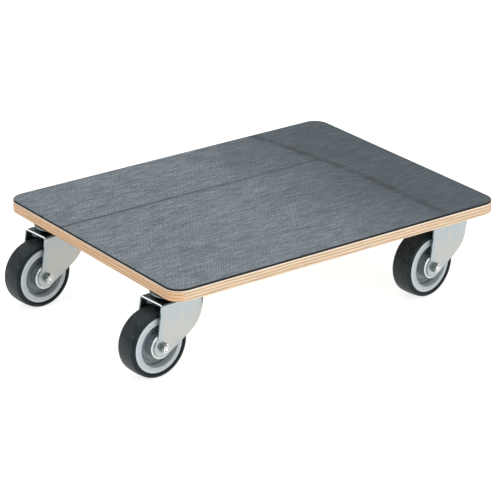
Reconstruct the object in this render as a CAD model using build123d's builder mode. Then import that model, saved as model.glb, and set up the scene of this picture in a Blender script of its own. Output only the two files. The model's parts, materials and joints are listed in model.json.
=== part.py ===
from build123d import *
import os
from math import acos, cos, degrees, radians, sin

os.makedirs("parts", exist_ok=True)

# A furniture dolly: a plywood deck with a rubber mat on four plate-mounted swivel casters.
# Millimetres, +X along the deck's long side, +Y to the back, +Z up, floor at Z = 0.

# Deck
DECK_LENGTH = 600.0
DECK_WIDTH = 450.0
PLY_THICKNESS = 16.5
MAT_THICKNESS = 3.0
MAT_INSET = 0.5
CORNER_RADIUS = 25.0
ARRIS_RADIUS = 1.2
MAT_EDGE_CHAMFER = 0.6

# Where the casters stand, and how far each has swung about its swivel axis (degrees)
SWIVEL_X = 250.0
SWIVEL_Y_FRONT = 154.0
SWIVEL_Y_BACK = 157.0
SWINGS = {"front_left": 4.0, "back_left": 4.5, "front_right": 8.0, "back_right": 6.0}

# Wheel
WHEEL_RADIUS = 51.0
TYRE_WIDTH = 36.0
TRAIL = 43.5
RIM_RADIUS = 42.6
RIM_EDGE_WIDTH = 31.6
RIM_LIP_WIDTH = 37.0
RIM_LIP_RADIUS = 33.6
TYRE_SEAT_RADIUS = 39.6
SEAT_LIP = 1.6
SHOULDER_START = 45.8
SHOULDER_RADIUS = 4.4
SHOULDER_TURN = 84.0
WEB_HALF = 5.2
WEB_STEP_HALF = 6.6
WEB_STEP_RADIUS = 25.0
WEB_STEP_TAPER = 1.5
WEB_CORNER = 2.2
HUB_RADIUS = 16.4
HUB_HALF = 20.2
HUB_TAPER = 1.2
RIM_LIP_ROUND = 1.0
TYRE_SEAT_INSET = 3.6
BEAD_STEP = 0.8
BEAD_DEPTH = 0.9
BEAD_RISE = 2.2

# Axle stack
BOLT_RADIUS = 4.0
BOLT_CLEARANCE = 0.1
SLEEVE_RADIUS = 6.0
ROLLER_RADIUS = 1.75
ROLLER_COUNT = 12
ROLLER_HALF = 17.0
RUNNING_GAP = 0.03
CAGE_HALF_WALL = 0.9
CAGE_OVERHANG = 1.5
POCKET_EASE = 0.1
GUARD_RADIUS = 19.2
GUARD_SHEET = 1.6
GUARD_SKIRT = 5.0
GUARD_ROUND = 1.4
HEX_ACROSS_FLATS = 13.0
BOLT_HEAD_HEIGHT = 5.3
BOLT_HEAD_CHAMFER = 0.8
NUT_HEX_HEIGHT = 5.6
NUT_COLLAR_HEIGHT = 2.4
NUT_COLLAR_RADIUS = 5.7
NUT_COLLAR_ROUND = 0.9

# Fork, pressed from sheet
SHEET = 3.0
FORK_WIDTH = 51.0
CROWN_TOP = 116.5
CROWN_REAR = 44.3
CROWN_BEND = 4.5
CHEEK_STRAIGHT_END = 16.0
CHEEK_CURVE_RADIUS = 36.0
CHEEK_CURVE_ANGLE = 35.0
CROWN_FRONT = 40.0
TIP_RADIUS = 15.5
LEG_UNDER_SLOPE = 30.0
LEG_UNDER_REACH = 46.0
LEG_FRONT_RADIUS = 66.0
LEG_REAR_CORNER = 12.5
FORK_EDGE_ROUND = 0.6
BLANK_MARGIN = 5.0
FLAT_TOLERANCE = 0.001

# Swivel head
CASTER_HEIGHT = 134.5
PLATE_X = 85.0
PLATE_Y = 105.0
PLATE_SHEET = 3.0
PLATE_CORNER = 7.0
SCREW_SPACING_X = 60.0
SCREW_SPACING_Y = 80.0
SLOT_WIDTH = 8.0
SLOT_LENGTH = 12.0
DISH_RADIUS = 27.5
DISH_DEPTH = 10.0
DISH_ROUND = 2.0
CUP_SHEET = 2.0
CUP_FLOOR_RADIUS = 26.0
CUP_FLANGE_INNER = 31.0
CUP_FLANGE_RADIUS = 38.0
CUP_RISE = 3.6
CUP_BORE = 7.0
CUP_BEND_STEP = 1.0
CUP_EDGE_ROUND = 0.9
UPPER_PITCH = 20.0
UPPER_BALL = 3.5
UPPER_COUNT = 17
LOWER_PITCH = 12.0
LOWER_BALL = 2.75
LOWER_COUNT = 12
GROOVE_DEPTH = 0.5
GROOVE_EASE = 0.1
BALL_GAP = 0.05
KINGPIN_RADIUS = 6.0
KINGPIN_HEAD = 10.0
KINGPIN_HEAD_HEIGHT = 4.0
KINGPIN_HEAD_ROUND = 2.4
RACE_RADIUS = 18.5
RACE_SHEET = 2.8
RACE_LIP = 2.0
RACE_LIP_HEIGHT = 2.6
RACE_ROUND = 1.5

# Wood screws that hold the top plates
SCREW_RADIUS = 2.75
SCREW_DEPTH = 13.0
SCREW_WASHER_RADIUS = 8.0
SCREW_WASHER = 1.2
SCREW_HEX = 10.0
SCREW_HEAD = 4.0

# Heights and places that follow from the sizes above
plate_bottom = CASTER_HEIGHT - PLATE_SHEET
deck_bottom = CASTER_HEIGHT
deck_top = deck_bottom + PLY_THICKNESS
dish_bottom = CASTER_HEIGHT - DISH_DEPTH
crown_bottom = CROWN_TOP - SHEET
fork_half = FORK_WIDTH / 2
fork_inner_half = fork_half - SHEET
sleeve_half = fork_inner_half - GUARD_SHEET
hub_bore = SLEEVE_RADIUS + 2 * ROLLER_RADIUS + RUNNING_GAP
roller_pitch = SLEEVE_RADIUS + ROLLER_RADIUS + RUNNING_GAP
cup_top = CROWN_TOP + CUP_SHEET
upper_ball_height = cup_top - GROOVE_DEPTH + UPPER_BALL
lower_ball_height = crown_bottom + GROOVE_DEPTH - LOWER_BALL
race_top = lower_ball_height - LOWER_BALL - BALL_GAP + GROOVE_DEPTH
race_bottom = race_top - RACE_SHEET
tyre_half = TYRE_WIDTH / 2

# Planes of one caster: its swivel axis is Z, and its wheel trails towards -X.
axle = Vector(-TRAIL, 0, WHEEL_RADIUS)
wheel_section = Plane(origin=axle, x_dir=(1, 0, 0), z_dir=(0, 0, 1))
axle_plane = Plane(origin=axle, x_dir=(1, 0, 0), z_dir=(0, -1, 0))
axle_line = Axis(axle, (0, 1, 0))


# ---------------------------------------------------------------- swivel head

with BuildPart() as top_plate:
    with BuildSketch(Plane.XY.offset(plate_bottom)):
        RectangleRounded(PLATE_X, PLATE_Y, PLATE_CORNER)
        with GridLocations(SCREW_SPACING_X, SCREW_SPACING_Y, 2, 2):
            SlotOverall(SLOT_LENGTH, SLOT_WIDTH, rotation=90, mode=Mode.SUBTRACT)
    extrude(amount=PLATE_SHEET)
    with BuildSketch(Plane.XY.offset(dish_bottom)):
        Circle(DISH_RADIUS)
    extrude(amount=DISH_DEPTH)
    with BuildSketch(Plane.XY.offset(dish_bottom + PLATE_SHEET)):
        Circle(DISH_RADIUS - PLATE_SHEET)
    extrude(amount=DISH_DEPTH, mode=Mode.SUBTRACT)
    fillet(top_plate.edges().filter_by(GeomType.CIRCLE).group_by(Axis.Z)[0], DISH_ROUND)
    with BuildSketch(Plane.XZ):
        with Locations((UPPER_PITCH, upper_ball_height - GROOVE_EASE + BALL_GAP)):
            Circle(UPPER_BALL + GROOVE_EASE)
    revolve(axis=Axis.Z, mode=Mode.SUBTRACT)
    with BuildSketch(Plane.XY.offset(dish_bottom)):
        Circle(KINGPIN_RADIUS)
    extrude(amount=PLATE_SHEET, mode=Mode.SUBTRACT)

with BuildPart() as bearing_cup:
    with BuildSketch(Plane.XZ):
        with BuildLine():
            Polyline(
                (CUP_BORE, CROWN_TOP),
                (CUP_FLOOR_RADIUS, CROWN_TOP),
                (CUP_FLANGE_INNER, CROWN_TOP + CUP_RISE),
                (CUP_FLANGE_RADIUS, CROWN_TOP + CUP_RISE),
                (CUP_FLANGE_RADIUS, cup_top + CUP_RISE),
                (CUP_FLANGE_INNER - CUP_BEND_STEP, cup_top + CUP_RISE),
                (CUP_FLOOR_RADIUS - CUP_BEND_STEP, cup_top),
                (CUP_BORE, cup_top),
                close=True,
            )
        make_face()
        with Locations((UPPER_PITCH, upper_ball_height + GROOVE_EASE)):
            Circle(UPPER_BALL + GROOVE_EASE, mode=Mode.SUBTRACT)
    revolve(axis=Axis.Z)
    flange_rims = bearing_cup.edges().filter_by(GeomType.CIRCLE).sort_by(SortBy.RADIUS)[-2:]
    fillet(flange_rims, CUP_EDGE_ROUND)

with BuildPart() as upper_balls:
    with Locations((0, 0, upper_ball_height)):
        with PolarLocations(UPPER_PITCH, UPPER_COUNT):
            Sphere(UPPER_BALL)

with BuildPart() as lower_balls:
    with Locations((0, 0, lower_ball_height)):
        with PolarLocations(LOWER_PITCH, LOWER_COUNT):
            Sphere(LOWER_BALL)

with BuildPart() as lower_race:
    with BuildSketch(Plane.XY.offset(race_bottom)):
        Circle(RACE_RADIUS)
        Circle(KINGPIN_RADIUS, mode=Mode.SUBTRACT)
    extrude(amount=RACE_SHEET)
    with BuildSketch(Plane.XY.offset(race_top)):
        Circle(RACE_RADIUS)
        Circle(RACE_RADIUS - RACE_LIP, mode=Mode.SUBTRACT)
    extrude(amount=RACE_LIP_HEIGHT)
    race_foot = lower_race.edges().filter_by(GeomType.CIRCLE).group_by(Axis.Z)[0]
    fillet(race_foot.sort_by(SortBy.RADIUS)[-1], RACE_ROUND)
    with BuildSketch(Plane.XZ):
        with Locations((LOWER_PITCH, race_top - GROOVE_DEPTH + LOWER_BALL + GROOVE_EASE)):
            Circle(LOWER_BALL + GROOVE_EASE)
    revolve(axis=Axis.Z, mode=Mode.SUBTRACT)

with BuildPart() as kingpin:
    with BuildSketch(Plane.XY.offset(race_bottom - KINGPIN_HEAD_HEIGHT)):
        Circle(KINGPIN_HEAD)
    extrude(amount=KINGPIN_HEAD_HEIGHT)
    with BuildSketch(Plane.XY.offset(race_bottom)):
        Circle(KINGPIN_RADIUS)
    extrude(amount=dish_bottom + PLATE_SHEET - race_bottom)
    with BuildSketch(Plane.XY.offset(dish_bottom + PLATE_SHEET)):
        Circle(KINGPIN_HEAD)
    extrude(amount=KINGPIN_HEAD_HEIGHT)
    fillet(kingpin.edges().group_by(Axis.Z)[0], KINGPIN_HEAD_ROUND)
    fillet(kingpin.edges().group_by(Axis.Z)[-1], KINGPIN_HEAD_ROUND)

# ---------------------------------------------------------------- fork

curve = radians(CHEEK_CURVE_ANGLE)


def cheek_plan(half, rear, radius):
    """Half of the fork's outline from above: a straight cheek that curves in at the front."""
    bend = (CHEEK_STRAIGHT_END, -half)
    end = (
        CHEEK_STRAIGHT_END + radius * sin(curve),
        -half + radius * (1 - cos(curve)),
    )
    middle = (
        CHEEK_STRAIGHT_END + radius * sin(curve / 2),
        -half + radius * (1 - cos(curve / 2)),
    )
    Line((-rear, -half), bend)
    ThreePointArc(bend, middle, end)
    return end


fork_rear = TRAIL + TIP_RADIUS + BLANK_MARGIN
fork_low = WHEEL_RADIUS - TIP_RADIUS - BLANK_MARGIN
space_rear = fork_rear + BLANK_MARGIN
space_front = CROWN_FRONT + BLANK_MARGIN

with BuildPart() as fork_space:
    with BuildSketch(Plane.XY.offset(fork_low)):
        with BuildLine():
            inner_end = cheek_plan(fork_inner_half, space_rear, CHEEK_CURVE_RADIUS - SHEET)
            Polyline(inner_end, (space_front, inner_end[1]), (space_front, 0))
            mirror(about=Plane.XZ)
            Line((-space_rear, -fork_inner_half), (-space_rear, fork_inner_half))
        make_face()
    extrude(amount=crown_bottom - fork_low)
    fillet(fork_space.edges().group_by(Axis.Z)[-1].filter_by(Axis.X), CROWN_BEND - SHEET)

under = radians(LEG_UNDER_SLOPE)
under_start = Vector(TIP_RADIUS * sin(under), -TIP_RADIUS * cos(under))
under_end = under_start + Vector(cos(under), sin(under)) * (
    (LEG_UNDER_REACH - under_start.X) / cos(under)
)
rear_corner = Vector(-((TIP_RADIUS**2 - LEG_REAR_CORNER**2) ** 0.5), LEG_REAR_CORNER)
crown_rear_corner = Vector(TRAIL - CROWN_REAR, CROWN_TOP - WHEEL_RADIUS)
crown_rise = crown_bottom - WHEEL_RADIUS - under_end.Y
front_turn = degrees(acos(cos(under) - crown_rise / LEG_FRONT_RADIUS)) - LEG_UNDER_SLOPE
above_crown = crown_rear_corner.Y + SHEET
beyond_crown = CROWN_FRONT + TRAIL + SHEET


def on_cheek_outline(edge):
    """True for the cut edges on the outer face of either cheek."""
    box = edge.bounding_box()
    flat = box.size.Y < FLAT_TOLERANCE and abs(abs(box.min.Y) - fork_half) < FLAT_TOLERANCE
    return flat and min(box.size.X, box.size.Z) > SHEET


with BuildPart() as fork:
    with BuildSketch(Plane.XY.offset(fork_low)):
        with BuildLine():
            outer_end = cheek_plan(fork_half, fork_rear, CHEEK_CURVE_RADIUS)
            mirror(about=Plane.XZ)
            ThreePointArc(outer_end, (CROWN_FRONT, 0), (outer_end[0], -outer_end[1]))
            Line((-fork_rear, -fork_half), (-fork_rear, fork_half))
        make_face()
    extrude(amount=CROWN_TOP - fork_low)
    fillet(fork.edges().group_by(Axis.Z)[-1].filter_by(Axis.X), CROWN_BEND)
    add(fork_space.part, mode=Mode.SUBTRACT)
    with BuildSketch(axle_plane):
        with BuildLine():
            Line(crown_rear_corner, rear_corner)
            ThreePointArc(rear_corner, (-TIP_RADIUS, 0), under_start)
            Line(under_start, under_end)
            front = JernArc(under_end, (cos(under), sin(under)), LEG_FRONT_RADIUS, front_turn)
            Polyline(
                front @ 1,
                (beyond_crown, (front @ 1).Y),
                (beyond_crown, above_crown),
                (crown_rear_corner.X, above_crown),
                crown_rear_corner,
            )
        make_face()
    extrude(amount=FORK_WIDTH, both=True, mode=Mode.INTERSECT)
    with BuildSketch(axle_plane):
        Circle(BOLT_RADIUS + BOLT_CLEARANCE)
    extrude(amount=FORK_WIDTH, both=True, mode=Mode.SUBTRACT)
    with BuildSketch(Plane.XY.offset(crown_bottom)):
        Circle(KINGPIN_RADIUS + BALL_GAP)
    extrude(amount=SHEET, mode=Mode.SUBTRACT)
    with BuildSketch(Plane.XZ):
        with Locations((LOWER_PITCH, lower_ball_height - GROOVE_EASE)):
            Circle(LOWER_BALL + GROOVE_EASE)
    revolve(axis=Axis.Z, mode=Mode.SUBTRACT)
    fillet(fork.edges().filter_by(on_cheek_outline), FORK_EDGE_ROUND)

# ---------------------------------------------------------------- axle stack

with BuildPart() as axle_bolt:
    with BuildSketch(axle_plane.offset(-fork_half)):
        RegularPolygon(HEX_ACROSS_FLATS / 2, 6, major_radius=False)
    extrude(amount=-BOLT_HEAD_HEIGHT)
    with BuildSketch(axle_plane.offset(-fork_half)):
        Circle(BOLT_RADIUS)
    extrude(amount=FORK_WIDTH + NUT_HEX_HEIGHT + NUT_COLLAR_HEIGHT)
    chamfer(axle_bolt.edges().group_by(Axis.Y)[0], BOLT_HEAD_CHAMFER)

with BuildPart() as axle_nut:
    with BuildSketch(axle_plane.offset(fork_half)):
        RegularPolygon(HEX_ACROSS_FLATS / 2, 6, major_radius=False)
    extrude(amount=NUT_HEX_HEIGHT)
    with BuildSketch(axle_plane.offset(fork_half + NUT_HEX_HEIGHT)):
        Circle(NUT_COLLAR_RADIUS)
    extrude(amount=NUT_COLLAR_HEIGHT)
    fillet(axle_nut.edges().group_by(Axis.Y)[0], NUT_COLLAR_ROUND)
    with BuildSketch(axle_plane.offset(fork_half)):
        Circle(BOLT_RADIUS)
    extrude(amount=NUT_HEX_HEIGHT + NUT_COLLAR_HEIGHT, mode=Mode.SUBTRACT)

with BuildPart() as axle_sleeve:
    with BuildSketch(axle_plane):
        Circle(SLEEVE_RADIUS)
        Circle(BOLT_RADIUS + BOLT_CLEARANCE, mode=Mode.SUBTRACT)
    extrude(amount=sleeve_half, both=True)

with BuildPart() as thread_guards:
    with BuildSketch(wheel_section):
        with BuildLine():
            Polyline(
                (BOLT_RADIUS + BOLT_CLEARANCE, sleeve_half),
                (GUARD_RADIUS - GUARD_SHEET, sleeve_half),
                (GUARD_RADIUS - GUARD_SHEET, fork_inner_half - GUARD_SKIRT),
                (GUARD_RADIUS, fork_inner_half - GUARD_SKIRT),
                (GUARD_RADIUS, fork_inner_half),
                (BOLT_RADIUS + BOLT_CLEARANCE, fork_inner_half),
                close=True,
            )
        make_face()
    revolve(axis=axle_line)
    guard_face = thread_guards.edges().filter_by(GeomType.CIRCLE).group_by(Axis.Y)[-1]
    fillet(guard_face.sort_by(SortBy.RADIUS)[-1], GUARD_ROUND)
    mirror(about=Plane.XZ)

# ---------------------------------------------------------------- wheel

rim_edge_half = RIM_EDGE_WIDTH / 2
rim_lip_half = RIM_LIP_WIDTH / 2
seat_half = rim_edge_half - TYRE_SEAT_INSET

with BuildPart() as rim:
    with BuildSketch(wheel_section):
        with BuildLine():
            Polyline(
                (hub_bore, 0),
                (hub_bore, HUB_HALF),
                (HUB_RADIUS, HUB_HALF),
                (HUB_RADIUS + HUB_TAPER, WEB_STEP_HALF),
                (WEB_STEP_RADIUS, WEB_STEP_HALF),
                (WEB_STEP_RADIUS + WEB_STEP_TAPER, WEB_HALF),
                (RIM_LIP_RADIUS - WEB_CORNER, WEB_HALF),
                (RIM_LIP_RADIUS, rim_lip_half),
                (RIM_RADIUS, rim_edge_half),
                (RIM_RADIUS, seat_half + SEAT_LIP),
                (TYRE_SEAT_RADIUS, seat_half),
                (TYRE_SEAT_RADIUS, 0),
            )
            mirror(about=Plane.XZ)
        make_face()
    revolve(axis=axle_line)
    rim_circles = rim.edges().filter_by(GeomType.CIRCLE)
    rim_lips = rim_circles.filter_by(lambda edge: abs(edge.radius - RIM_LIP_RADIUS) < FLAT_TOLERANCE)
    fillet(rim_lips, RIM_LIP_ROUND)

with BuildPart() as tyre:
    with BuildSketch(wheel_section):
        with BuildLine():
            Polyline(
                (TYRE_SEAT_RADIUS, 0),
                (TYRE_SEAT_RADIUS, seat_half),
                (RIM_RADIUS, seat_half + SEAT_LIP),
                (RIM_RADIUS, rim_edge_half),
                (RIM_RADIUS + BEAD_STEP, tyre_half - BEAD_DEPTH),
                (RIM_RADIUS + BEAD_RISE, tyre_half),
                (SHOULDER_START, tyre_half),
            )
            shoulder = JernArc((SHOULDER_START, tyre_half), (1, 0), SHOULDER_RADIUS, -SHOULDER_TURN)
            mirror(about=Plane.XZ)
            tread_edge = shoulder @ 1
            ThreePointArc(tread_edge, (WHEEL_RADIUS, 0), (tread_edge.X, -tread_edge.Y))
        make_face()
    revolve(axis=axle_line)

with BuildPart() as roller_bearing:
    with BuildSketch(axle_plane):
        Circle(roller_pitch + CAGE_HALF_WALL)
        Circle(roller_pitch - CAGE_HALF_WALL, mode=Mode.SUBTRACT)
    extrude(amount=ROLLER_HALF + CAGE_OVERHANG, both=True)
    with BuildSketch(axle_plane):
        with PolarLocations(roller_pitch, ROLLER_COUNT):
            Circle(ROLLER_RADIUS + POCKET_EASE)
    extrude(amount=ROLLER_HALF + POCKET_EASE, both=True, mode=Mode.SUBTRACT)
    with BuildSketch(axle_plane):
        with PolarLocations(roller_pitch, ROLLER_COUNT):
            Circle(ROLLER_RADIUS)
    extrude(amount=ROLLER_HALF, both=True)

# ---------------------------------------------------------------- places under the deck

# The trailing left-hand wheels overhang the deck's end. The origin is under the middle of the
# whole dolly, so the deck sits half of that overhang towards +X.
left_wheels = [
    tyre.part.rotate(Axis.Z, swing).bounding_box().min.X
    for corner, swing in SWINGS.items()
    if corner.endswith("left")
]
deck_x = (SWIVEL_X - min(left_wheels) - DECK_LENGTH / 2) / 2


def swivel_point(corner):
    """Where one caster's swivel axis meets the floor."""
    side_x = 1 if corner.endswith("right") else -1
    y = SWIVEL_Y_BACK if corner.startswith("back") else -SWIVEL_Y_FRONT
    return Vector(deck_x + side_x * SWIVEL_X, y, 0)


# The top plates stay square to the deck, so their screws stand on a plain grid.
all_screws = [
    swivel_point(corner) + Vector(side_x * SCREW_SPACING_X / 2, side_y * SCREW_SPACING_Y / 2)
    for corner in SWINGS
    for side_x in (-1, 1)
    for side_y in (-1, 1)
]
screw_spots = [(spot.X, spot.Y) for spot in all_screws]

# ---------------------------------------------------------------- deck, mat and screws

with BuildPart() as plywood_deck:
    with BuildSketch(Plane.XY.offset(deck_bottom)):
        with Locations((deck_x, 0)):
            RectangleRounded(DECK_LENGTH, DECK_WIDTH, CORNER_RADIUS)
    extrude(amount=PLY_THICKNESS)
    fillet(plywood_deck.edges().group_by(Axis.Z)[0], ARRIS_RADIUS)
    with BuildSketch(Plane.XY.offset(deck_bottom)):
        with Locations(*screw_spots):
            Circle(SCREW_RADIUS)
    extrude(amount=SCREW_DEPTH, mode=Mode.SUBTRACT)

with BuildPart() as rubber_mat:
    with BuildSketch(Plane.XY.offset(deck_top)):
        with Locations((deck_x, 0)):
            RectangleRounded(
                DECK_LENGTH - 2 * MAT_INSET, DECK_WIDTH - 2 * MAT_INSET, CORNER_RADIUS - MAT_INSET
            )
    extrude(amount=MAT_THICKNESS)
    chamfer(rubber_mat.edges().group_by(Axis.Z)[-1], MAT_EDGE_CHAMFER)

with BuildPart() as plate_screws:
    with BuildSketch(Plane.XY.offset(plate_bottom)):
        with Locations(*screw_spots):
            Circle(SCREW_RADIUS)
    extrude(amount=PLATE_SHEET + SCREW_DEPTH)
    with BuildSketch(Plane.XY.offset(plate_bottom)):
        with Locations(*screw_spots):
            Circle(SCREW_WASHER_RADIUS)
    extrude(amount=-SCREW_WASHER)
    with BuildSketch(Plane.XY.offset(plate_bottom - SCREW_WASHER)):
        with Locations(*screw_spots):
            RegularPolygon(SCREW_HEX / 2, 6, major_radius=False)
    extrude(amount=-SCREW_HEAD)

# ---------------------------------------------------------------- files

plywood_deck.part.label = "plywood_deck"
rubber_mat.part.label = "rubber_mat"
plate_screws.part.label = "plate_screws"
for piece in (plywood_deck, rubber_mat, plate_screws):
    export_step(piece.part, f"parts/{piece.part.label}.step")

top_plate.part.label = "top_plate"
kingpin.part.label = "kingpin"
lower_race.part.label = "lower_race"
bearing_cup.part.label = "bearing_cup"
upper_balls.part.label = "upper_balls"
lower_balls.part.label = "lower_balls"
fork.part.label = "fork"
axle_bolt.part.label = "axle_bolt"
axle_nut.part.label = "axle_nut"
axle_sleeve.part.label = "axle_sleeve"
thread_guards.part.label = "thread_guards"
rim.part.label = "rim"
tyre.part.label = "tyre"
roller_bearing.part.label = "roller_bearing"
square_pieces = (top_plate, kingpin, lower_race)
swung_pieces = (
    bearing_cup,
    upper_balls,
    lower_balls,
    fork,
    axle_bolt,
    axle_nut,
    axle_sleeve,
    thread_guards,
    rim,
    tyre,
    roller_bearing,
)

for corner, swing in SWINGS.items():
    spot = swivel_point(corner)
    for piece in square_pieces + swung_pieces:
        turn = swing if piece in swung_pieces else 0
        copy = piece.part.moved(Location(spot, (0, 0, turn)))
        copy.label = f"{corner}_{piece.part.label}"
        export_step(copy, f"parts/{copy.label}.step")
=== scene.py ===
import bpy
import json
import math
from mathutils import Matrix, Vector


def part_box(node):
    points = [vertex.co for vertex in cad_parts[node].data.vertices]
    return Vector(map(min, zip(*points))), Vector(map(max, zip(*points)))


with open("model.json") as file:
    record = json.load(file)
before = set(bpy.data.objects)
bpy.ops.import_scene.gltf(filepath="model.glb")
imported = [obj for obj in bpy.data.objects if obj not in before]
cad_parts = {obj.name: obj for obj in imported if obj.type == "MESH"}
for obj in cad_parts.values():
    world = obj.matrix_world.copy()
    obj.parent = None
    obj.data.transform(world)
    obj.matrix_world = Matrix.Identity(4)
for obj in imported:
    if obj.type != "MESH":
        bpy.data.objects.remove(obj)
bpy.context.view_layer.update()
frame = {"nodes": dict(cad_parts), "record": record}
nodes = frame["nodes"]
joints = {joint["name"]: joint for joint in frame["record"]["behaviour"]["joints"]}
scene = bpy.context.scene
scene.view_settings.view_transform = "Standard"
CORNERS = ("front_left", "back_left", "front_right", "back_right")

mat_low, mat_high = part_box("rubber_mat")
deck_low, deck_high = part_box("plywood_deck")
deck_middle = (deck_low + deck_high) / 2


# ---------------------------------------------------------------- camera

CAMERA_AZIMUTH = math.radians(-36.357)
CAMERA_ELEVATION = math.radians(22.718)
CAMERA_ROLL = math.radians(0.163)
CAMERA_FROM_DECK_TOP = Vector((-2.1929, -2.9733, 1.4611))
CAMERA_LENS = 187.45
CAMERA_SENSOR = 36
CAMERA_REACH = 50


def make_camera():
    """A long lens that looks down on the near left-hand corner."""
    back = Vector((
        math.sin(CAMERA_AZIMUTH) * math.cos(CAMERA_ELEVATION),
        -math.cos(CAMERA_AZIMUTH) * math.cos(CAMERA_ELEVATION),
        math.sin(CAMERA_ELEVATION),
    ))
    right = (-back).cross(Vector((0, 0, 1))).normalized()
    up = right.cross(-back)
    turn = Matrix.Rotation(CAMERA_ROLL, 3, back)
    axes = Matrix((turn @ right, turn @ up, back)).transposed()
    data = bpy.data.cameras.new("camera")
    data.sensor_width = CAMERA_SENSOR
    data.lens = CAMERA_LENS
    data.clip_end = CAMERA_REACH
    camera = bpy.data.objects.new("camera", data)
    scene.collection.objects.link(camera)
    place = Vector((deck_middle.x, deck_middle.y, mat_high.z)) + CAMERA_FROM_DECK_TOP
    camera.matrix_world = Matrix.Translation(place) @ axes.to_4x4()
    scene.camera = camera


make_camera()


# ---------------------------------------------------------------- node helpers

class Graph:
    """A material's node tree, with short calls for the nodes used here."""

    def __init__(self, name):
        self.material = bpy.data.materials.new(name)
        self.material.use_nodes = True
        self.tree = self.material.node_tree
        self.tree.nodes.clear()
        self.shader = self.node("ShaderNodeBsdfPrincipled")
        self.output = self.node("ShaderNodeOutputMaterial")
        self.tree.links.new(self.shader.outputs[0], self.output.inputs["Surface"])

    def node(self, kind, **settings):
        node = self.tree.nodes.new(kind)
        for key, value in settings.items():
            setattr(node, key, value)
        return node

    def put(self, socket, value):
        """A number or colour goes on the socket itself, and anything else is linked to it."""
        if isinstance(value, bpy.types.NodeSocket):
            self.tree.links.new(value, socket)
        elif isinstance(value, tuple) and len(value) == 3 and socket.type == "RGBA":
            socket.default_value = (*value, 1)
        else:
            socket.default_value = value

    def shade(self, **values):
        """Sets inputs of the surface shader by name."""
        for key, value in values.items():
            self.put(self.shader.inputs[key.replace("_", " ")], value)

    # Places and directions, all in the node's own frame, which turns with its body.

    def place(self):
        return self.node("ShaderNodeTexCoord").outputs["Object"]

    def facing(self):
        """The surface's direction, as three numbers."""
        return self.parts(self.node("ShaderNodeTexCoord").outputs["Normal"])

    def facing_along(self, turn):
        """How far the surface faces along X after a turn about Z."""
        nx, ny, _ = self.facing()
        return self.plus(self.times(nx, math.cos(turn)), self.times(ny, math.sin(turn)))

    def parts(self, vector):
        node = self.node("ShaderNodeSeparateXYZ")
        self.put(node.inputs[0], vector)
        return node.outputs

    def scaled(self, vector, scale):
        node = self.node("ShaderNodeMapping")
        self.put(node.inputs["Vector"], vector)
        node.inputs["Scale"].default_value = scale
        return node.outputs[0]

    def about(self, vector, centre, turn):
        """The place seen from a centre that is turned about Z."""
        node = self.node("ShaderNodeMapping", vector_type="TEXTURE")
        self.put(node.inputs["Vector"], vector)
        node.inputs["Location"].default_value = centre
        node.inputs["Rotation"].default_value = (0, 0, turn)
        return node.outputs[0]

    # Arithmetic.

    def math(self, operation, a, b=0.0):
        node = self.node("ShaderNodeMath", operation=operation)
        for socket, value in zip(node.inputs, (a, b)):
            self.put(socket, value)
        return node.outputs[0]

    def plus(self, a, b):
        return self.math("ADD", a, b)

    def minus(self, a, b):
        return self.math("SUBTRACT", a, b)

    def times(self, a, b):
        return self.math("MULTIPLY", a, b)

    def over(self, a, b):
        return self.math("DIVIDE", a, b)

    def size(self, a):
        return self.math("ABSOLUTE", a)

    def larger(self, a, b):
        return self.math("MAXIMUM", a, b)

    def smaller(self, a, b):
        return self.math("MINIMUM", a, b)

    def ripple(self, a, pitch):
        """A sine wave that repeats every pitch."""
        return self.math("SINE", self.times(a, 2 * math.pi / pitch))

    def length(self, a, b):
        """The distance from the origin in two coordinates."""
        return self.math("SQRT", self.plus(self.times(a, a), self.times(b, b)))

    def radius(self, vector):
        """The distance from the Y axis, which is a wheel's own axis."""
        x, _, z = self.parts(vector)
        return self.length(x, z)

    def span(self, value, low, high, start=0.0, end=1.0):
        """Runs from start to end while the value runs from low to high, and stays inside."""
        node = self.node("ShaderNodeMapRange", clamp=True)
        for socket, number in zip(node.inputs, (value, low, high, start, end)):
            self.put(socket, number)
        return node.outputs[0]

    def near(self, value, edge, depths, *ends):
        """Rises while the value comes up to an edge, between two depths below the edge."""
        deep, shallow = depths
        return self.span(value, edge - deep, edge - shallow, *ends)

    # Patterns and colours.

    def noise(self, vector, scale, detail=3.0, roughness=0.55, distortion=0.0):
        node = self.node("ShaderNodeTexNoise")
        self.put(node.inputs["Vector"], vector)
        node.inputs["Scale"].default_value = scale
        node.inputs["Detail"].default_value = detail
        node.inputs["Roughness"].default_value = roughness
        node.inputs["Distortion"].default_value = distortion
        return node.outputs["Fac"]

    def streaks(self, vector, scale, detail, roughness, distortion=0.0):
        """Noise with its own scale on each axis."""
        return self.noise(self.scaled(vector, scale), 1, detail, roughness, distortion)

    def ramp(self, value, stops):
        node = self.node("ShaderNodeValToRGB")
        elements = node.color_ramp.elements
        while len(elements) < len(stops):
            elements.new(0.5)
        for element, (position, colour) in zip(elements, stops):
            element.position = position
            element.color = (*colour, 1)
        self.put(node.inputs[0], value)
        return node.outputs[0]

    def mix(self, factor, a, b, blend="MIX"):
        node = self.node("ShaderNodeMix", data_type="RGBA", blend_type=blend)
        sockets = [s for s in node.inputs if s.enabled]
        for socket, value in zip(sockets, (factor, a, b)):
            self.put(socket, value)
        return [s for s in node.outputs if s.enabled][0]

    def relief(self, height, distance, strength):
        """Bumps the shader's surface."""
        node = self.node("ShaderNodeBump")
        node.inputs["Strength"].default_value = strength
        node.inputs["Distance"].default_value = distance
        self.put(node.inputs["Height"], height)
        self.shade(Normal=node.outputs[0])


def paint(name, material):
    """Gives a CAD node its finished material."""
    slots = nodes[name].data.materials
    for index in range(len(slots)):
        slots[index] = material
    if not len(slots):
        slots.append(material)


# ---------------------------------------------------------------- plywood

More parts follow.
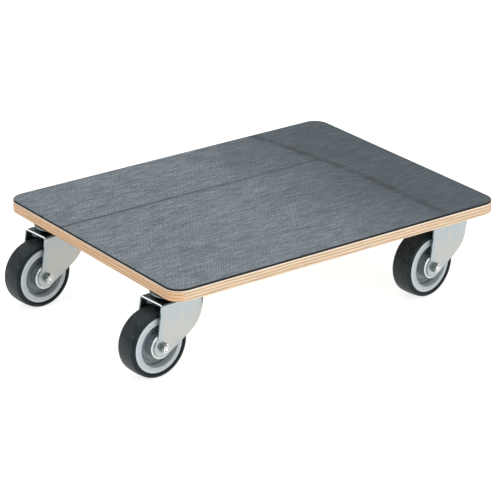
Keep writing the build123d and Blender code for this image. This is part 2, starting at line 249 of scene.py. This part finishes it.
PLIES = 7
PLY_WANDER = 0.30
LONG_GRAIN = (0.66, 0.53, 0.39)
LONG_GRAIN_STREAK = (0.50, 0.355, 0.215)
END_GRAIN = (0.38, 0.27, 0.17)
END_GRAIN_BLOTCH = (0.52, 0.36, 0.22)
OPEN_PORE = (0.30, 0.16, 0.07)
SHORT_SIDE_SHADE = (1.0, 0.83, 0.68)
ARRIS = (0.70, 0.64, 0.54)
ARRIS_DEPTHS = (0.0016, 0.0010)
VENEER_RELIEF = (0.0002, 0.4)
FACE_VENEER = ((0.3, (0.50, 0.42, 0.32)), (0.5, (0.42, 0.34, 0.25)), (0.7, (0.54, 0.46, 0.36)))


def plywood():
    """Cross-banded veneers on the cut edges, rotary-cut grain on the faces."""
    g = Graph("plywood")
    place = g.place()
    z = g.parts(place)[2]
    normal = g.facing()
    ply = (deck_high.z - deck_low.z) / PLIES
    wander = g.noise(g.scaled(place, (1, 1, 0)), 9, 4)
    depth = g.plus(g.over(g.minus(z, deck_low.z), ply), g.span(wander, 0.3, 0.7, -PLY_WANDER, PLY_WANDER))
    wave = g.math("COSINE", g.times(g.minus(depth, 0.5), math.pi))
    long_grain = g.span(wave, -0.35, 0.35)
    # A veneer that shows long grain on the long side shows end grain on the short side.
    short_side = g.span(g.size(normal[0]), 0.22, 0.50)
    end_grain = g.size(g.minus(long_grain, g.minus(1.0, short_side)))
    streak = g.streaks(place, (14, 14, 900), 4, 0.65)
    blotch = g.streaks(place, (30, 30, 260), 3, 0.6)
    pores = g.streaks(place, (500, 500, 1300), 2, 0.7)
    pale = g.mix(g.span(streak, 0.38, 0.62, 0, 0.85), LONG_GRAIN, LONG_GRAIN_STREAK)
    tan = g.mix(g.span(blotch, 0.40, 0.64, 0, 0.85), END_GRAIN, END_GRAIN_BLOTCH)
    tan = g.mix(g.span(pores, 0.45, 0.75, 0, 0.6), tan, OPEN_PORE)
    colour = g.mix(end_grain, pale, tan)
    # Painted shade: the short side is made darker and more orange than the long side.
    colour = g.mix(short_side, colour, g.mix(1.0, colour, SHORT_SIDE_SHADE, "MULTIPLY"))
    colour = g.mix(g.near(z, deck_high.z, ARRIS_DEPTHS, 0, 0.75), colour, ARRIS)
    figure = g.streaks(place, (2.2, 26, 1), 5, 0.6, 0.6)
    underside = g.span(g.times(normal[2], -1.0), 0.8, 0.95)
    colour = g.mix(underside, colour, g.ramp(figure, FACE_VENEER))
    g.shade(Base_Color=colour, Roughness=g.span(pores, 0.2, 0.8, 0.45, 0.65))
    g.relief(g.plus(streak, pores), *VENEER_RELIEF)
    return g.material


# ---------------------------------------------------------------- rubber sheet

MESH_X = 0.0040
MESH_Y = 0.0058
SHEEN_FULL_UP_TO_X = 0.0
SHEEN_GONE_FROM_X = 0.22
SHEEN_EDGE_WANDER = 0.03
MAT_BASE = (0.074, 0.101, 0.116)
MAT_PAINTED_SHEEN = (0.285, 0.330, 0.362)
MAT_SCRATCH = (0.43, 0.47, 0.50)
MAT_DARK = (0.045, 0.055, 0.064)
SEAM_Y = 0.073
SEAM_CORE = 0.0004
SEAM_HALF_WIDTH = 0.0055
SEAM_FADES = ((-0.30, 0.92), (0.25, 0.68))
FOLD_BACK_X = 0.163
FOLD_BACK_Y = 0.220
FOLD_BEND = 0.035
FOLD_LENGTH = 0.320
FOLD_CORE = 0.002
FOLD_HALF_WIDTH = 0.011
FOLD_DARK = (0.026, 0.032, 0.037)
RAGGED = 0.0035
MAT_CORNER = 0.0245
BAND_BLACK_TO = 0.0004
BAND_ENDS = 0.0011
BAND_BLACK = (0.004, 0.004, 0.004)
TOP_FACE_DEPTHS = (0.00015, 0.00005)
MAT_RELIEF = (0.0003, 0.6)


def mat_band(g, x, y, z):
    """0 on the mat's cut side and in the narrow black band inside its outline, 1 on the rest of its top."""
    half = (mat_high - mat_low) / 2
    out_x = g.minus(g.size(x), half.x - MAT_CORNER)
    out_y = g.minus(g.size(y), half.y - MAT_CORNER)
    bend = g.length(g.larger(out_x, 0.0), g.larger(out_y, 0.0))
    straight = g.smaller(g.larger(out_x, out_y), 0.0)
    inset = g.minus(MAT_CORNER, g.plus(bend, straight))
    return g.times(g.near(z, mat_high.z, TOP_FACE_DEPTHS), g.span(inset, BAND_BLACK_TO, BAND_ENDS))


def mat_rubber():
    """A finely meshed rubber sheet with lengthwise scuffs, a seam line, an old fold and a painted sheen
    that makes it lighter towards the left-hand end.
    """
    g = Graph("mat_rubber")
    place = g.place()
    x, y, z = g.parts(place)
    x = g.minus(x, deck_middle.x)
    mesh = g.times(g.ripple(x, MESH_X), g.ripple(y, MESH_Y))
    scuffs = g.streaks(place, (30, 330, 1), 4, 0.7)
    long_scuffs = g.streaks(place, (4, 95, 1), 3, 0.6)
    grain = g.streaks(place, (300, 260, 1), 3, 0.7)
    # Painted sheen: the sheet is painted lighter from the right towards the left-hand end, a gradient of
    # light along X with a wandering edge.
    cloud = g.streaks(place, (5, 7, 1), 4, 0.6)
    wander = g.span(cloud, 0.3, 0.7, -SHEEN_EDGE_WANDER, SHEEN_EDGE_WANDER)
    painted_sheen = g.span(g.plus(x, wander), SHEEN_FULL_UP_TO_X, SHEEN_GONE_FROM_X, 1, 0)
    colour = g.mix(painted_sheen, MAT_BASE, MAT_PAINTED_SHEEN)
    colour = g.mix(g.span(scuffs, 0.42, 0.60, 0, 0.52), colour, MAT_DARK)
    colour = g.mix(g.span(scuffs, 0.44, 0.30, 0, 0.30), colour, MAT_SCRATCH)
    colour = g.mix(g.span(long_scuffs, 0.45, 0.68, 0, 0.18), colour, MAT_DARK)
    colour = g.mix(g.span(grain, 0.36, 0.62, 0, 0.58), colour, MAT_DARK)
    colour = g.mix(g.span(mesh, -0.4, 0.4, 0, 0.54), colour, MAT_DARK)
    scarred = g.span(g.streaks(place, (16, 24, 1), 4, 0.65), 0.50, 0.62)
    scars = g.times(scarred, g.span(scuffs, 0.38, 0.56))
    colour = g.mix(g.times(scars, 0.28), colour, MAT_DARK)
    # The seam line runs lengthwise, and the fold curves across near the right-hand end.
    ragged = g.streaks(place, (60, 60, 1), 4, 0.7)
    shift = g.span(ragged, 0.3, 0.7, -RAGGED, RAGGED)
    seam_off = g.size(g.minus(g.plus(y, g.times(shift, 0.3)), SEAM_Y))
    (fade_low, fade_start), (fade_high, fade_end) = SEAM_FADES
    seam_fade = g.span(x, fade_low, fade_high, fade_start, fade_end)
    seam = g.times(g.span(seam_off, SEAM_CORE, SEAM_HALF_WIDTH, 1, 0), seam_fade)
    down = g.span(g.over(g.minus(FOLD_BACK_Y, y), FOLD_LENGTH), 0, 1)
    curve = g.times(down, g.minus(2.0, down))
    fold_x = g.plus(g.times(curve, FOLD_BEND), FOLD_BACK_X)
    fold_off = g.size(g.minus(g.plus(x, shift), fold_x))
    patches = g.streaks(place, (30, 22, 1), 4, 0.7)
    fold = g.span(fold_off, FOLD_CORE, FOLD_HALF_WIDTH, 1, 0)
    fold = g.times(fold, g.span(patches, 0.36, 0.62, 0.22, 0.90))
    colour = g.mix(seam, colour, MAT_DARK)
    colour = g.mix(fold, colour, FOLD_DARK)
    colour = g.mix(mat_band(g, x, y, z), BAND_BLACK, colour)
    height = g.plus(g.times(mesh, 0.5), g.times(grain, 0.7))
    height = g.minus(height, g.times(seam, 1.5))
    g.shade(Base_Color=colour, Roughness=g.span(scuffs, 0.3, 0.7, 0.55, 0.70), Specular_IOR_Level=0.25)
    g.relief(height, *MAT_RELIEF)
    return g.material


# ---------------------------------------------------------------- wheels

TREAD_RADII = (0.0492, 0.0504)
BEAD_INNER = (0.0426, 0.0432)
BEAD_OUTER = (0.0460, 0.0450)
TYRE_BLACK = (0.0038, 0.0066, 0.0078)
TYRE_DUSTY = (0.0130, 0.0178, 0.0195)
TREAD_DUST = (0.030, 0.035, 0.037)
TREAD_GRIT = (0.10, 0.105, 0.10)
BEAD_SHADE = (0.0010, 0.0014, 0.0016)
TYRE_SHEEN = (0.72, 0.96, 1.0)
TYRE_RELIEF = (0.0004, 0.7)


def tyre_rubber(corner, centre, turn):
    """Matt black rubber, dusty and gritty where it rolls, darker in the crease beside the rim."""
    g = Graph(f"tyre_rubber_{corner}")
    place = g.about(g.place(), centre, turn)
    radius = g.radius(place)
    dust = g.noise(place, 75, 6, 0.7)
    specks = g.noise(place, 420, 3, 0.7)
    tread = g.span(radius, *TREAD_RADII)
    colour = g.mix(g.span(dust, 0.3, 0.75), TYRE_BLACK, TYRE_DUSTY)
    colour = g.mix(g.times(tread, g.span(dust, 0.38, 0.68, 0.05, 0.7)), colour, TREAD_DUST)
    bead = g.times(g.span(radius, *BEAD_INNER), g.span(radius, *BEAD_OUTER))
    colour = g.mix(g.times(bead, 0.85), colour, BEAD_SHADE)
    colour = g.mix(g.times(tread, g.span(specks, 0.56, 0.68, 0, 0.55)), colour, TREAD_GRIT)
    g.shade(Base_Color=colour, Roughness=g.span(dust, 0.3, 0.7, 0.38, 0.55))
    g.shade(Specular_IOR_Level=0.20, Specular_Tint=TYRE_SHEEN)
    bands = g.streaks(place, (18, 520, 18), 3, 0.6)
    g.relief(g.plus(g.times(specks, 0.35), g.plus(dust, g.times(tread, bands))), *TYRE_RELIEF)
    return g.material


WEB_FACE = 0.0070
RECESS_DEEP = 0.004
RECESS_RADII = (0.0290, 0.0305)
RAMP_RADIUS = 0.05
RIM_FACE = (
    (0.0345 / RAMP_RADIUS, (0.35, 0.385, 0.41)),
    (0.0385 / RAMP_RADIUS, (0.37, 0.41, 0.43)),
    (0.0405 / RAMP_RADIUS, (0.48, 0.53, 0.57)),
)
RECESS_SHADED_GREY = (0.175, 0.220, 0.235)
RECESS_LINE = (0.075, 0.090, 0.095)
RIM_MOTTLE = (0.22, 0.24, 0.25)
RECESS_LINE_PITCH = 0.0044
TURNING_PITCH = 0.0009
RIM_RELIEF = (0.00008, 0.6)


def rim_plastic(corner, centre, turn):
    """Moulded grey plastic, finely turned, painted darker down in the recess as shade."""
    g = Graph(f"rim_plastic_{corner}")
    place = g.about(g.place(), centre, turn)
    radius = g.radius(place)
    mottle = g.noise(place, 70, 4, 0.6)
    outer = g.span(g.size(g.parts(place)[1]), WEB_FACE, WEB_FACE + RECESS_DEEP)
    outer = g.times(outer, g.span(radius, *RECESS_RADII))
    colour = g.mix(outer, RECESS_SHADED_GREY, g.ramp(g.over(radius, RAMP_RADIUS), RIM_FACE))
    inner = g.minus(1.0, outer)
    steps = g.ripple(radius, RECESS_LINE_PITCH)
    colour = g.mix(g.times(inner, g.span(steps, 0.2, 0.9, 0, 0.45)), colour, RECESS_LINE)
    colour = g.mix(g.span(mottle, 0.35, 0.7, 0, 0.20), colour, RIM_MOTTLE)
    smooth = g.span(mottle, 0.3, 0.7, 0.34, 0.48)
    g.shade(Base_Color=colour, Roughness=g.minus(smooth, g.times(inner, 0.12)))
    rings = g.ripple(radius, TURNING_PITCH)
    g.relief(g.plus(g.times(rings, 0.3), g.noise(place, 900, 2, 0.6)), *RIM_RELIEF)
    return g.material


# ---------------------------------------------------------------- plated steel

ZINC_CLOUDS = (
    (0.32, (0.34, 0.425, 0.455)),
    (0.48, (0.395, 0.44, 0.45)),
    (0.64, (0.435, 0.45, 0.425)),
)
ZINC_STRAW = (0.49, 0.45, 0.42)
ZINC_BLUE = (0.33, 0.44, 0.50)
ZINC_DULL = (0.34, 0.38, 0.39)
ZINC_STAIN = (0.16, 0.19, 0.19)
FORK_INSIDE = 0.0227
CROWN_TOP = 0.1165
SHADE_EDGE_SOFT = 0.0002
FAR_EDGE_DEPTHS = (0.0012, 0.0002)
FAR_CHEEK_DEPTHS = (0.0017, 0.0007)
CROWN_FACE_DEPTHS = (0.0008, 0.0003)
EDGE_HIGHLIGHT_DEPTHS = (0.0020, 0.0014)
FORK_PAINTED_SHADE = (0.030, 0.052, 0.058)
PAINTED_EDGE_HIGHLIGHT = (0.95, 0.97, 0.97)
LIGHT_PATCH_CENTRE = (0.0180, 0.0525)
LIGHT_PATCH_HALF = (0.010, 0.0050)
PAINTED_LIGHT_PATCH = (0.80, 0.90, 0.95)
FORK_RELIEF = (0.00005, 0.5)
ZINC_RELIEF = (0.00008, 0.5)


def zinc_clouds(g, place, depth):
    """Pale plating with faint blue and straw-coloured clouds."""
    cloud = g.noise(g.scaled(place, (1, 1, 0.7)), 26, 3, 0.5)
    second = g.noise(g.scaled(place, (1, 1, 0.5)), 44, 3, 0.5, 0.4)
    colour = g.ramp(cloud, ZINC_CLOUDS)
    colour = g.mix(g.span(second, 0.50, 0.70, 0, depth), colour, ZINC_STRAW)
    return g.mix(g.span(second, 0.48, 0.32, 0, depth), colour, ZINC_BLUE)


def fork_painted_shade(g, y, normal, height, patchiness):
    """How much painted shade the fork gets: inside the cheeks, on one cheek's cut edge and on top of the
    crown.
    The first result is the inside of the cheeks alone."""
    inside = g.span(g.size(y), FORK_INSIDE, FORK_INSIDE - SHADE_EDGE_SOFT)
    far_edge = g.times(g.near(y, FORK_INSIDE, FAR_EDGE_DEPTHS), g.span(g.size(normal[1]), 0.7, 0.5))
    inside = g.larger(inside, g.times(far_edge, 0.8))
    on_top = g.times(g.span(normal[2], 0.75, 0.95), g.near(height, CROWN_TOP, CROWN_FACE_DEPTHS))
    painted_shade = g.times(inside, g.span(patchiness, 0.30, 0.66, 0.95, 0.62))
    return inside, g.larger(painted_shade, g.times(on_top, g.span(patchiness, 0.34, 0.62, 0.95, 0.55)))


def zinc_fork(corner, centre, turn):
    """A pressed fork: clear plating outside, painted shade inside the cheeks and on top of the crown."""
    g = Graph(f"zinc_fork_{corner}")
    world = g.place()
    height = g.parts(world)[2]
    place = g.about(world, centre, turn)
    x, y, z = g.parts(place)
    spangle = g.noise(place, 260, 3, 0.6)
    lines = g.streaks(place, (700, 700, 9), 3, 0.6)
    colour = zinc_clouds(g, place, 0.4)
    colour = g.mix(g.span(spangle, 0.35, 0.7, 0, 0.15), colour, ZINC_DULL)
    # Painted shade: the inside of the cheeks and the top of the crown are made dark, in patches.
    inside, painted_shade = fork_painted_shade(g, y, g.facing(), height, g.noise(place, 55, 4, 0.6))
    colour = g.mix(painted_shade, colour, FORK_PAINTED_SHADE)
    # A painted highlight runs along the crown's sheared rear edge.
    rearward = g.span(g.times(g.facing_along(turn), -1.0), 0.45, 0.65)
    edge_highlight = g.times(g.near(height, CROWN_TOP, EDGE_HIGHLIGHT_DEPTHS), rearward)
    colour = g.mix(edge_highlight, colour, PAINTED_EDGE_HIGHLIGHT)
    # A painted patch of reflected light high up inside the far cheek, behind the crown's rear edge.
    light_patch = g.length(
        g.over(g.minus(x, LIGHT_PATCH_CENTRE[0]), LIGHT_PATCH_HALF[0]),
        g.over(g.minus(z, LIGHT_PATCH_CENTRE[1]), LIGHT_PATCH_HALF[1]),
    )
    far_cheek = g.times(inside, g.near(y, FORK_INSIDE, FAR_CHEEK_DEPTHS))
    light_patch = g.times(g.span(light_patch, 1.1, 0.7), far_cheek)
    colour = g.mix(light_patch, colour, PAINTED_LIGHT_PATCH)
    roughness = g.plus(g.span(spangle, 0.3, 0.7, 0.24, 0.34), g.span(lines, 0.3, 0.7, 0, 0.08))
    g.shade(Base_Color=colour, Metallic=g.minus(1.0, g.times(light_patch, 0.85)), Roughness=roughness)
    g.relief(g.plus(lines, g.times(spangle, 0.5)), *FORK_RELIEF)
    return g.material


def zinc(name, shade, low, high):
    """Zinc plating on the small pressed and turned pieces, with a roughness from low to high."""
    g = Graph(name)
    place = g.place()
    spangle = g.noise(place, 300, 3, 0.6)
    stain = g.noise(place, 90, 4, 0.6)
    colour = g.mix(0.35, shade, zinc_clouds(g, place, 0.3))
    colour = g.mix(g.span(stain, 0.42, 0.70, 0, 0.55), colour, ZINC_STAIN)
    g.shade(Base_Color=colour, Metallic=1.0, Roughness=g.span(spangle, 0.3, 0.7, low, high))
    g.relief(g.plus(stain, g.times(spangle, 0.5)), *ZINC_RELIEF)
    return g.material


CUP_SHADE_DEEP = (0.020, 0.034, 0.038)
CUP_SHADE_PALE = (0.075, 0.100, 0.105)
CUP_RIM_HIGHLIGHT = (0.60, 0.65, 0.65)
CUP_RIM_DEPTHS = (0.0012, 0.0006)
CUP_RELIEF = (0.0001, 0.5)


def cup_steel(corner):
    """A pressed cup painted dark as shade, in patches, with a painted highlight in places along the
    flange's rim.
    """
    g = Graph(f"zinc_cup_{corner}")
    low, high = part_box(f"{corner}_bearing_cup")
    rim = (high.x - low.x) / 2
    place = g.about(g.place(), (low + high) / 2, 0.0)
    x, y, _ = g.parts(place)
    patchiness = g.noise(place, 70, 4, 0.6)
    # Painted highlight: the rim is made pale in places.
    bright = g.near(g.length(x, y), rim, CUP_RIM_DEPTHS)
    bright = g.times(bright, g.span(patchiness, 0.42, 0.58, 0.25, 1.0))
    colour = g.mix(g.span(patchiness, 0.3, 0.7), CUP_SHADE_DEEP, CUP_SHADE_PALE)
    colour = g.mix(bright, colour, CUP_RIM_HIGHLIGHT)
    g.shade(Base_Color=colour, Metallic=1.0, Roughness=g.span(patchiness, 0.3, 0.7, 0.22, 0.34))
    g.relief(patchiness, *CUP_RELIEF)
    return g.material


AXLE_FLANK_SHADE = (0.21, 0.24, 0.24)
AXLE_END_HIGHLIGHT = (0.84, 0.86, 0.85)
AXLE_SPECK = (0.30, 0.33, 0.33)
AXLE_RELIEF = (0.00012, 0.6)


def axle_steel(name, axis):
    """Turned ends painted pale as a highlight, and the flanks round them painted dark as shade."""
    g = Graph(name)
    nx, ny, _ = g.facing()
    along = g.plus(g.times(nx, axis[0]), g.times(ny, axis[1]))
    end = g.span(g.size(along), 0.70, 0.92)
    spangle = g.noise(g.place(), 500, 3, 0.6)
    colour = g.mix(end, AXLE_FLANK_SHADE, AXLE_END_HIGHLIGHT)
    colour = g.mix(g.span(spangle, 0.45, 0.65, 0, 0.6), colour, AXLE_SPECK)
    g.shade(Base_Color=colour, Metallic=1.0, Roughness=g.span(spangle, 0.3, 0.7, 0.16, 0.30))
    g.relief(spangle, *AXLE_RELIEF)
    return g.material


GUARD_RIM_RADII = (0.0172, 0.0182)
GUARD_RING_PITCH = 0.0011
GUARD_DISC = (0.56, 0.61, 0.60)
GUARD_RIM_HIGHLIGHT = (0.80, 0.84, 0.83)
GUARD_RING = (0.32, 0.36, 0.36)
GUARD_STAIN = (0.20, 0.23, 0.23)
GUARD_RELIEF = (0.00012, 0.6)


def guard_steel(corner, centre, turn):
    """A spun washer-like disc with turned rings and a rolled rim painted pale as a highlight."""
    g = Graph(f"thread_guard_steel_{corner}")
    place = g.about(g.place(), centre, turn)
    radius = g.radius(place)
    stain = g.noise(place, 110, 4, 0.6)
    rings = g.ripple(radius, GUARD_RING_PITCH)
    colour = g.mix(g.span(radius, *GUARD_RIM_RADII), GUARD_DISC, GUARD_RIM_HIGHLIGHT)
    colour = g.mix(g.span(rings, 0.2, 0.9, 0, 0.35), colour, GUARD_RING)
    colour = g.mix(g.span(stain, 0.42, 0.70, 0, 0.4), colour, GUARD_STAIN)
    g.shade(Base_Color=colour, Metallic=1.0, Roughness=g.span(stain, 0.3, 0.7, 0.22, 0.36))
    g.relief(g.plus(rings, stain), *GUARD_RELIEF)
    return g.material


BEARING_DARK = (0.42, 0.43, 0.45)
BEARING_BRIGHT = (0.60, 0.61, 0.62)


def bearing_steel():
    """Ground steel with fine grinding marks."""
    g = Graph("bearing_steel")
    grind = g.streaks(g.place(), (40, 900, 900), 3, 0.6)
    colour = g.mix(g.span(grind, 0.3, 0.7), BEARING_DARK, BEARING_BRIGHT)
    g.shade(Base_Color=colour, Metallic=1.0, Roughness=g.span(grind, 0.3, 0.7, 0.18, 0.34))
    return g.material


# ---------------------------------------------------------------- every node gets its material

# Painted shade: the top plates' zinc is made dark grey, as the shade under the deck.
PLATE_SHADE_GREY = (0.20, 0.24, 0.25)
PLATE_ROUGHNESS = (0.26, 0.36)
HARDWARE_GREY = (0.50, 0.52, 0.51)
HARDWARE_ROUGHNESS = (0.20, 0.32)

plate_steel = zinc("zinc_plate", PLATE_SHADE_GREY, *PLATE_ROUGHNESS)
hardware_steel = zinc("zinc_hardware", HARDWARE_GREY, *HARDWARE_ROUGHNESS)
plain_steel = bearing_steel()

paint("plywood_deck", plywood())
paint("rubber_mat", mat_rubber())
paint("plate_screws", hardware_steel)
for corner in CORNERS:
    spin = joints[f"{corner}_wheel_spin"]
    centre = Vector(spin["pos_m"])
    turn = math.atan2(-spin["axis"][0], spin["axis"][1])
    axle = axle_steel(f"zinc_axle_{corner}", spin["axis"])
    finishes = {
        "tyre": tyre_rubber(corner, centre, turn),
        "rim": rim_plastic(corner, centre, turn),
        "fork": zinc_fork(corner, centre, turn),
        "thread_guards": guard_steel(corner, centre, turn),
        "bearing_cup": cup_steel(corner),
        "top_plate": plate_steel,
        "axle_bolt": axle,
        "axle_nut": axle,
        "kingpin": hardware_steel,
        "lower_race": hardware_steel,
        "upper_balls": plain_steel,
        "lower_balls": plain_steel,
        "axle_sleeve": plain_steel,
        "roller_bearing": plain_steel,
    }
    for part, material in finishes.items():
        paint(f"{corner}_{part}", material)


# ---------------------------------------------------------------- studio

FLOOR_HALF = 12
FLOOR_GREYS = ((0.48, 0.48, 0.48), (0.50, 0.50, 0.50))
FLOOR_GLOW = 0.76
WORLD_LIGHT = 0.85
# Name, place, target, size and power.
LIGHTS = (
    ("key", (0.15, -1.9, 0.55), (0, 0, 0.08), (1.5, 0.9), 11),
    ("top", (-0.6, -0.4, 2.4), (0, 0, 0.1), (1.8, 1.8), 26),
)


def make_floor():
    """Pale paper that glows a little. Seen from below it is clear, so the underside can be looked at."""
    data = bpy.data.meshes.new("floor")
    corners = [(x * FLOOR_HALF, y * FLOOR_HALF, 0) for x, y in ((-1, -1), (1, -1), (1, 1), (-1, 1))]
    data.from_pydata(corners, [], [(0, 1, 2, 3)])
    floor = bpy.data.objects.new("floor", data)
    scene.collection.objects.link(floor)
    g = Graph("floor_paper")
    g.shade(Base_Color=g.mix(g.noise(g.place(), 2, 2), *FLOOR_GREYS), Roughness=0.9)
    g.shade(Emission_Color=(1, 1, 1), Emission_Strength=FLOOR_GLOW)
    either = g.node("ShaderNodeMixShader")
    g.put(either.inputs[0], g.node("ShaderNodeNewGeometry").outputs["Backfacing"])
    g.put(either.inputs[1], g.shader.outputs[0])
    g.put(either.inputs[2], g.node("ShaderNodeBsdfTransparent").outputs[0])
    g.put(g.output.inputs["Surface"], either.outputs[0])
    data.materials.append(g.material)


def make_light(name, place, target, size, power):
    """A soft rectangular light that faces its target."""
    data = bpy.data.lights.new(name, "AREA")
    data.shape = "RECTANGLE"
    data.size, data.size_y = size
    data.energy = power
    light = bpy.data.objects.new(name, data)
    scene.collection.objects.link(light)
    light.location = place
    light.rotation_mode = "QUATERNION"
    light.rotation_quaternion = (Vector(target) - Vector(place)).to_track_quat("-Z", "Y")


def make_world():
    """Even white light from all round."""
    world = bpy.data.worlds.new("studio")
    scene.world = world
    world.use_nodes = True
    background = world.node_tree.nodes["Background"]
    background.inputs["Color"].default_value = (1, 1, 1, 1)
    background.inputs["Strength"].default_value = WORLD_LIGHT


make_floor()
make_world()
for light in LIGHTS:
    make_light(*light)
